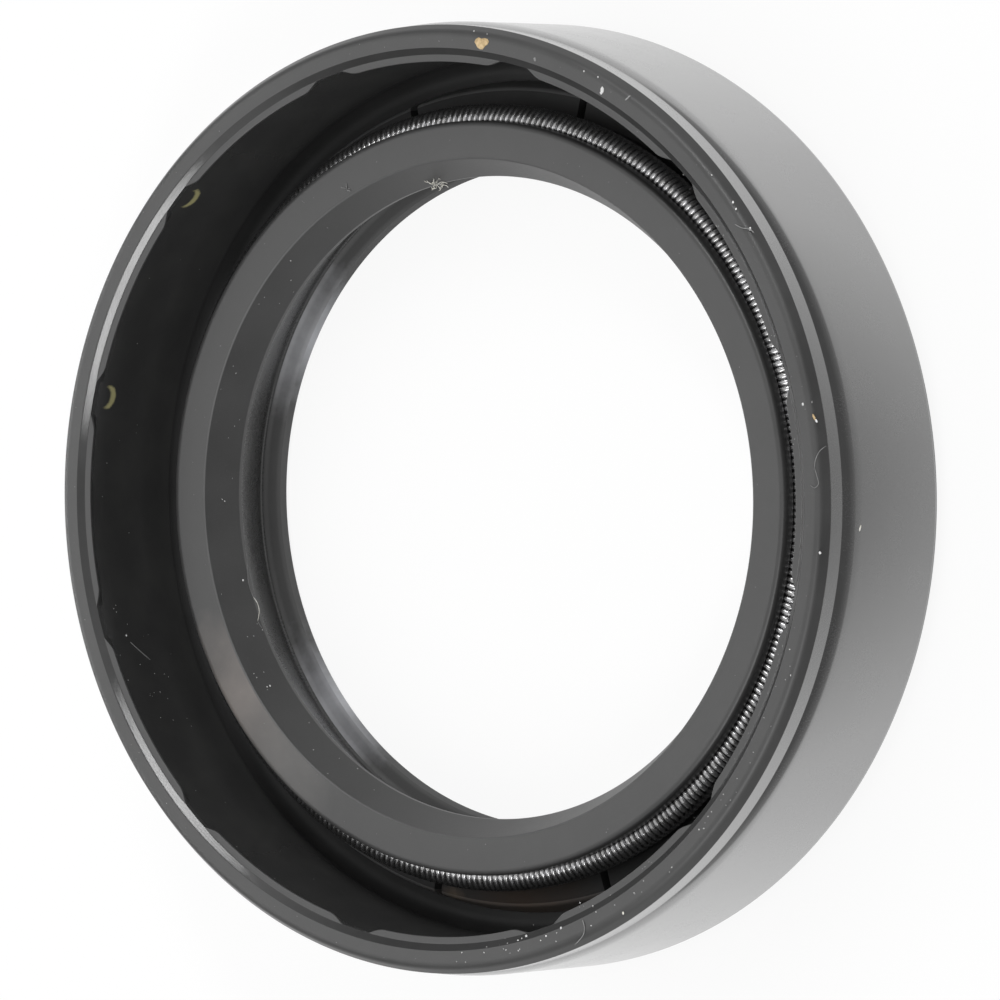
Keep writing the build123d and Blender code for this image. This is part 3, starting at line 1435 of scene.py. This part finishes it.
@dataclass(frozen=True)
class LintTuft:
    """A small tangle of short curled fibres."""

    centre: Place
    reach: Place
    count: int = 16
    steps: int = 5
    stride: float = 0.12
    radius: float = 0.02
    dirt: Dirt = Dirt.LINT
    curl: float = 0.7

    def hairs(self, dice: random.Random) -> list[Hair]:
        """Tangles the fibres.

        Args:
            dice: source of chance.

        Returns:
            The fibres.
        """
        fibres = []
        for _ in range(self.count):
            place = np.array([middle + dice.uniform(-1, 1) * reach
                              for middle, reach in zip(self.centre, self.reach)])
            heading = np.array([dice.uniform(-1, 1) for _ in range(3)])
            points = [tuple(place.tolist())]
            for _ in range(self.steps):
                heading += np.array([dice.uniform(-self.curl, self.curl) for _ in range(3)])
                place = place + self.stride * heading / np.linalg.norm(heading)
                points.append(tuple(place.tolist()))
            fibres.append(Hair(tuple(points), self.radius, self.dirt))
        return fibres


@dataclass
class SurfaceSpecks:
    """Grains and fine dust that stick to the seal, and one tan chip on the rim.

    The chip's section gives the share of its outline and of its thickness at each level.
    """

    sizes: SealSizes
    finishes: dict[Dirt, LooseFinish]
    grains: Sequence[Speck]
    patches: Sequence[DustPatch]
    chip: Sequence[Point]
    chip_thickness: float = 0.035
    chip_section: tuple[Point, ...] = ((1.0, -0.01), (1.0, 0.4), (0.86, 1.0))
    unevenness: Span = (0.78, 1.18)
    seed: int = 41

    def build(self) -> bpy.types.Object:
        """Scatters the grains and lays the chip.

        Returns:
            The piece.
        """
        dice = random.Random(self.seed)
        heap = MeshHeap()
        for grain in self.grains:
            self.add_grain(heap, grain, dice)
        for patch in self.patches:
            for grain in patch.specks(dice):
                self.add_grain(heap, grain, dice)
        self.add_chip(heap)
        return settle(heap, "surface_specks", self.finishes)

    def add_grain(self, heap: MeshHeap, grain: Speck, dice: random.Random) -> None:
        """Adds one rounded, uneven grain.

        Args:
            heap: the mesh that it joins.
            grain: the grain.
            dice: source of chance.
        """
        up = Vector(grain.facing).normalized()
        along = Vector(grain.along)
        along = (along - along.dot(up) * up).normalized()
        turn = Matrix((along, up.cross(along), up)).transposed()
        ball = bmesh.new()
        bmesh.ops.create_icosphere(ball, subdivisions=1, radius=1.0)
        half = Vector((grain.length / 2, grain.width / 2, grain.width / 4))
        points = []
        for corner in ball.verts:
            swell = dice.uniform(*self.unevenness)
            offset = Vector([corner.co[axis] * half[axis] * swell for axis in range(3)])
            points.append(tuple(Vector(grain.place) + turn @ offset))
        faces = [tuple(vertex.index for vertex in face.verts) for face in ball.faces]
        ball.free()
        heap.add(np.array(points), faces, grain.dirt.value)

    def add_chip(self, heap: MeshHeap) -> None:
        """Adds the thin chip that lies on the rim.

        Args:
            heap: the mesh that it joins.
        """
        outline = np.array(self.chip)
        middle = outline.mean(axis=0)
        points = [(*(middle + share * (place - middle)),
                   self.sizes.width + rise * self.chip_thickness)
                  for share, rise in self.chip_section for place in outline]
        faces = skin_faces(len(self.chip_section), len(outline))
        heap.add(np.array(points), faces, Dirt.TAN.value)


@dataclass
class LintAndHairs:
    """Hairs, a thread and a tuft of lint that cling to the seal."""

    finishes: dict[Dirt, LooseFinish]
    hairs: Sequence[Hair]
    tufts: Sequence[LintTuft]
    sides: int = 5
    tip_share: float = 0.35
    tip_growth: float = 0.3
    seed: int = 17

    def build(self) -> bpy.types.Object:
        """Lays every hair.

        Returns:
            The piece.
        """
        dice = random.Random(self.seed)
        heap = MeshHeap()
        strands = list(self.hairs)
        for tuft in self.tufts:
            strands += tuft.hairs(dice)
        for strand in strands:
            path = strand.path()
            tip = np.minimum(np.arange(len(path)), np.arange(len(path))[::-1])
            swell = np.clip(self.tip_share + self.tip_growth * tip, self.tip_share, 1.0)
            radii = strand.radius * swell
            heap.add(*tube_grid(path, radii, self.sides), strand.dirt.value)
        return settle(heap, "lint_and_hairs", self.finishes)


def settle(heap: MeshHeap, name: str, finishes: dict[Dirt, LooseFinish]) -> bpy.types.Object:
    """Makes a piece of loose dirt and lets it ride on the seal.

    Args:
        heap: the shapes that it is made of.
        name: name of the piece.
        finishes: the finish of each kind of dirt.

    Returns:
        The piece.
    """
    piece = heap.build(name, [finish.material() for finish in finishes.values()])
    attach(piece, "root")
    return piece


# Where the dirt lies, in millimetres. The chip's outline runs anticlockwise.
TAN_CHIP: tuple[Point, ...] = (
    (21.22, -3.44), (21.09, -3.50), (20.98, -3.66), (20.96, -3.82), (21.09, -3.94),
    (21.18, -4.11), (21.31, -4.19), (21.43, -4.12), (21.49, -3.95), (21.47, -3.77),
    (21.54, -3.60), (21.47, -3.44), (21.34, -3.36))
OUTWARD_RIGHT: Direction = (-0.09, -1.0, 0.0)
GRAINS: tuple[Speck, ...] = (
    Speck((18.73, -10.60, 10.0), 0.36, 0.24, along=(1.0, -0.1, 0.0)),
    Speck((18.60, -10.52, 10.0), 0.20, 0.16),
    Speck((20.36, -6.81, 10.0), 0.24, 0.16, Dirt.FILM),
    Speck((19.66, -9.58, 10.0), 0.11, 0.08),
    Speck((19.35, -10.37, 10.0), 0.11, 0.08),
    Speck((18.30, -12.02, 10.0), 0.42, 0.09, Dirt.FILM, (0.55, -0.83, 0.0)),
    Speck((21.85, -3.34, 10.0), 0.08, 0.06),
    Speck((21.67, -4.09, 10.0), 0.07, 0.05),
    Speck((14.52, -16.62, 10.0), 0.10, 0.07),
    Speck((13.23, -17.75, 10.0), 0.13, 0.10),
    Speck((12.91, -17.91, 10.0), 0.13, 0.10),
    Speck((11.96, -18.65, 10.0), 0.20, 0.14),
    Speck((3.84, -21.29, 10.0), 0.17, 0.14),
    Speck((3.92, -21.79, 10.0), 0.12, 0.09, Dirt.FILM),
    Speck((3.22, -21.88, 10.0), 0.36, 0.14, Dirt.TAN, (0.8, 0.45, 0.0)),
    Speck((3.05, -22.00, 10.0), 0.22, 0.12, along=(0.8, 0.45, 0.0)),
    Speck((-1.92, -22.43, 7.33), 0.34, 0.11, Dirt.LINT, (0.9, 0.0, -0.35), OUTWARD_RIGHT),
    Speck((-2.98, -21.98, 10.0), 0.15, 0.13),
    Speck((-20.13, -6.76, 10.0), 0.15, 0.12),
    Speck((-20.50, -5.89, 10.0), 0.11, 0.08),
    Speck((-19.43, -10.33, 10.0), 0.17, 0.13, Dirt.LINT),
    Speck((-19.38, -8.79, 10.0), 0.08, 0.06),
    Speck((-19.11, -8.48, 9.79), 0.09, 0.06),
    Speck((-18.97, -7.74, 9.79), 0.08, 0.06),
    Speck((-20.51, -4.67, 9.88), 0.17, 0.14),
    Speck((-20.62, -4.42, 9.91), 0.08, 0.06),
    Speck((-20.72, -4.23, 9.94), 0.12, 0.09),
    Speck((-20.85, -3.83, 9.95), 0.10, 0.08),
    Speck((-20.88, -3.62, 9.95), 0.14, 0.10),
    Speck((-20.95, -3.16, 9.95), 0.09, 0.07),
    Speck((-21.03, -2.40, 9.95), 0.08, 0.06),
    Speck((-6.10, 19.96, 8.05), 0.12, 0.10, facing=(0.3, -1.0, 0.0)),
    Speck((-3.60, 14.94, 5.21), 0.12, 0.10, facing=(0.2, -0.9, 0.4)),
    Speck((-8.70, 13.00, 5.86), 0.12, 0.09, facing=(0.5, -0.8, 0.4)),
    Speck((-8.75, 13.06, 6.02), 0.08, 0.06, facing=(0.5, -0.8, 0.4)),
    Speck((-6.02, 14.04, 4.97), 0.13, 0.09, facing=(0.4, -0.8, 0.4)),
)
DUST: tuple[DustPatch, ...] = (
    DustPatch((20.9, 4.5), (20.9, 9.0), (55.0, 150.0), 26, (0.03, 0.06), Dirt.FILM),
    DustPatch((20.9, 5.5), (20.9, 9.0), (100.0, 150.0), 12, (0.03, 0.055)),
    DustPatch((15.30, 5.07), (15.95, 6.52), (30.0, 160.0), 30, (0.025, 0.05)),
    DustPatch((16.2, 6.68), (17.4, 6.7), (0.0, 360.0), 40, (0.02, 0.045), Dirt.FILM),
    DustPatch((21.3, 10.0), (21.9, 10.0), (180.0, 250.0), 40, (0.025, 0.06)),
    DustPatch((21.3, 10.0), (21.9, 10.0), (250.0, 540.0), 50, (0.02, 0.045), Dirt.FILM),
    DustPatch((20.6, 9.77), (20.9, 9.77), (180.0, 330.0), 24, (0.02, 0.04)),
)
HAIRS: tuple[Hair, ...] = (
    Hair(((1.89, -22.30, 9.72), (1.67, -22.15, 10.03), (1.27, -21.91, 10.04),
          (0.90, -21.84, 10.03)), 0.015, Dirt.FILM),
    Hair(((0.90, -21.84, 10.03), (0.44, -21.99, 10.04), (0.17, -22.04, 10.05),
          (-0.01, -21.81, 10.04), (0.13, -21.59, 10.03)), 0.013, Dirt.FILM),
    Hair(((12.22, -17.82, 10.03), (12.02, -18.26, 10.04), (11.96, -18.65, 10.05),
          (11.76, -18.90, 10.03)), 0.022, Dirt.FILM),
    Hair(((-20.92, -7.53, 10.02), (-20.50, -8.01, 10.04), (-20.13, -8.14, 10.05),
          (-19.75, -8.04, 10.04)), 0.02, Dirt.FILM),
    Hair(((-2.73, 14.94, 4.85), (-3.31, 14.86, 4.94), (-3.75, 14.77, 4.99),
          (-4.18, 14.65, 4.98), (-4.43, 14.56, 4.92)), 0.007, Dirt.FILM),
    Hair(((-4.43, 14.56, 4.92), (-4.72, 14.39, 4.85), (-5.06, 14.29, 4.85),
          (-5.35, 14.26, 4.94), (-5.59, 14.23, 5.07)), 0.012),
    Hair(((-5.59, 14.23, 5.07), (-5.78, 14.13, 5.04), (-5.93, 14.05, 4.99)), 0.008, Dirt.FILM),
    Hair(((-6.42, 19.87, 7.88), (-6.86, 19.73, 7.35), (-7.33, 19.55, 6.76)), 0.025, Dirt.FILM),
)
TUFTS: tuple[LintTuft, ...] = (
    LintTuft((14.97, 6.82, 6.73), (0.10, 0.10, 0.02), 6, stride=0.06, radius=0.014,
             dirt=Dirt.FILM),
    LintTuft((15.02, 2.62, 5.25), (0.10, 0.36, 0.10), 20, stride=0.11, radius=0.015))


# --------------------------------------------------------------------------------------
# Studio
# --------------------------------------------------------------------------------------
@dataclass(frozen=True)
class PanelLamp:
    """A soft rectangular lamp that faces the seal, given by the directions of its two ends.

    The brightness is the level at which a mirror shows the lamp, where 1 is white.
    """

    name: str
    start: Direction
    end: Direction
    distance: float
    thickness: float
    brightness: float
    watts_per_brightness: float = 4.0

    def build(self) -> bpy.types.Object:
        """Hangs the lamp.

        Returns:
            The lamp object.
        """
        first, last = Vector(self.start).normalized(), Vector(self.end).normalized()
        facing = (first + last).normalized()
        length = (first - last).length * self.distance
        data = bpy.data.lights.new(self.name, "AREA")
        data.shape = "RECTANGLE"
        data.size = length
        data.size_y = self.thickness
        data.energy = self.brightness * self.watts_per_brightness * length * self.thickness
        along = (last - first).normalized()
        across = facing.cross(along)
        turn = Matrix((along, across, facing)).transposed().to_4x4()
        lamp = bpy.data.objects.new(self.name, data)
        lamp.matrix_world = Matrix.Translation(facing * self.distance) @ turn
        bpy.context.scene.collection.objects.link(lamp)
        return lamp


@dataclass(frozen=True)
class Studio:
    """Pale table, white surroundings that darken towards the front, and four soft lamps.

    The surroundings fade between two values of the direction's Y, and again low behind the seal.
    """

    table_size: float = 3.0
    table_gap: float = 0.02
    table_colour: float = 0.9
    table_glow: float = 0.9
    table_front: Span = (-0.036, -0.020)
    surround: float = 0.72
    surround_front: float = 0.13
    front_from: float = 0.22
    front_to: float = 0.86
    low_back: Span = (0.05, 0.30)
    low_band: Span = (0.40, 0.62)
    low_share: float = 0.12
    lamps: tuple[PanelLamp, ...] = (
        PanelLamp("strip_lamp_left", (-0.803, -0.040, 0.594), (-0.203, -0.564, 0.801), 0.6,
                  0.085, 7.0),
        PanelLamp("strip_lamp_right", (0.826, 0.031, 0.563), (0.463, -0.455, 0.761), 0.6,
                  0.085, 9.0),
        PanelLamp("overhead_lamp", (-0.35, 0.66, 0.68), (0.35, 0.66, 0.68), 0.3, 0.2, 0.8),
        PanelLamp("low_lamp", (-0.25, 0.94, 0.28), (0.25, 0.94, 0.28), 0.25, 0.035, 6.0),
    )

    def build(self) -> None:
        """Sets the table, the surroundings and the lamps."""
        self.table()
        self.surroundings()
        for lamp in self.lamps:
            lamp.build()
        bpy.context.scene.view_settings.view_transform = "Standard"

    def table(self) -> bpy.types.Object:
        """Lays the pale table under the seal, with a darker front, a painted shade that only
        reflections show.

        Returns:
            The table object.
        """
        half = self.table_size / 2
        mesh = bpy.data.meshes.new("pale_table")
        level = -self.table_gap * MM
        corners = [(x * half, y * half, level) for x, y in ((-1, -1), (1, -1), (1, 1), (-1, 1))]
        mesh.from_pydata(corners, [], [(0, 1, 2, 3)])
        table = bpy.data.objects.new("pale_table", mesh)
        bpy.context.scene.collection.objects.link(table)
        bench = NodeBench.material("pale_table_top")
        rays = bench.node("ShaderNodeLightPath")
        reflected = bench.maths("MAXIMUM", rays.outputs["Is Glossy Ray"],
                                rays.outputs["Is Transmission Ray"])
        seen = bench.maths("MAXIMUM", rays.outputs["Is Camera Ray"], reflected)
        _, depth, _ = bench.split(bench.node("ShaderNodeTexCoord").outputs["Object"])
        # Painted shade on the table in front of the seal, seen only by reflections.
        front = bench.spread(depth, *self.table_front, self.surround_front / self.surround)
        paper = bench.node("ShaderNodeBsdfDiffuse")
        bench.feed(paper.inputs["Color"], grey(self.table_colour))
        glow = bench.node("ShaderNodeEmission")
        bench.feed(glow.inputs["Color"], bench.blend(reflected, grey(1.0), front))
        mixed = bench.node("ShaderNodeMixShader")
        bench.feed(mixed.inputs[0], bench.maths("MULTIPLY", seen, self.table_glow))
        bench.feed(mixed.inputs[1], paper.outputs[0])
        bench.feed(mixed.inputs[2], glow.outputs[0])
        output = bench.node("ShaderNodeOutputMaterial")
        bench.feed(output.inputs["Surface"], mixed.outputs[0])
        mesh.materials.append(bench.owner)
        return table

    def surroundings(self) -> None:
        """Hangs white surroundings that are darker in front of the seal and low behind it."""
        world = bpy.data.worlds.new("studio_surround")
        bpy.context.scene.world = world
        bench = NodeBench(world)
        _, depth, rise = bench.split(bench.node("ShaderNodeTexCoord").outputs["Generated"])
        fade = bench.spread(depth, -self.front_to, -self.front_from, self.surround_front,
                            self.surround, smooth=True)
        low = bench.spread(rise, *self.low_band, self.low_share, smooth=True)
        behind = bench.spread(depth, *self.low_back, 1.0, low, smooth=True)
        around = bench.node("ShaderNodeBackground")
        bench.feed(around.inputs["Color"], grey(1.0))
        bench.feed(around.inputs["Strength"], bench.maths("MULTIPLY", fade, behind))
        backdrop = bench.node("ShaderNodeBackground")
        bench.feed(backdrop.inputs["Color"], grey(1.0))
        seen = bench.node("ShaderNodeMixShader")
        bench.feed(seen.inputs[0], bench.node("ShaderNodeLightPath").outputs["Is Camera Ray"])
        bench.feed(seen.inputs[1], around.outputs[0])
        bench.feed(seen.inputs[2], backdrop.outputs[0])
        output = bench.node("ShaderNodeOutputWorld")
        bench.feed(output.inputs["Surface"], seen.outputs[0])


@dataclass(frozen=True)
class StudioCamera:
    """A long lens that looks down into the mouth of the seal.

    The distance and the aim are in millimetres, and the elevation and the roll in degrees.
    """

    lens: float = 356.43
    distance: float = 468.94
    elevation: float = 53.997
    roll: float = -91.764
    aim: Place = (-0.115, -0.377, 5.0)
    sensor_width: float = 36.0
    clip: Span = (0.01, 20.0)

    def build(self) -> bpy.types.Object:
        """Stands the camera in its place.

        Returns:
            The camera object.
        """
        data = bpy.data.cameras.new("studio_camera")
        data.lens = self.lens
        data.sensor_width = self.sensor_width
        data.clip_start, data.clip_end = self.clip
        camera = bpy.data.objects.new("studio_camera", data)
        rise = math.radians(self.elevation)
        back = Vector((0.0, -math.cos(rise), math.sin(rise)))
        right = Vector((1.0, 0.0, 0.0))
        turn = Matrix((right, back.cross(right), back)).transposed().to_4x4()
        place = (Vector(self.aim) + back * self.distance) * MM
        camera.matrix_world = (Matrix.Translation(place) @ turn
                               @ Matrix.Rotation(math.radians(self.roll), 4, "Z"))
        bpy.context.scene.collection.objects.link(camera)
        bpy.context.scene.camera = camera
        return camera


def main() -> None:
    """Builds every piece of the seal and the studio round it."""
    logging.basicConfig(level=logging.INFO, format="%(name)s: %(message)s")
    sizes = SealSizes.from_frame()
    StudioCamera().build()
    pieces = (
        RubberBody(sizes, RUBBER_FINISHES),
        CaseInsert(sizes, BondCoat(), BEND_COAT_PAINTED_SHADE, FLANGE_COAT_PAINTED_LIGHT),
        GarterSpring(sizes, SpringWire()),
        SurfaceSpecks(sizes, DIRT_FINISHES, GRAINS, DUST, TAN_CHIP),
        LintAndHairs(DIRT_FINISHES, HAIRS, TUFTS),
    )
    for maker in pieces:
        piece = maker.build()
        log.info("%s: %d faces", piece.name, len(piece.data.polygons))
    Studio().build()


if __name__ == "__main__":
    main()
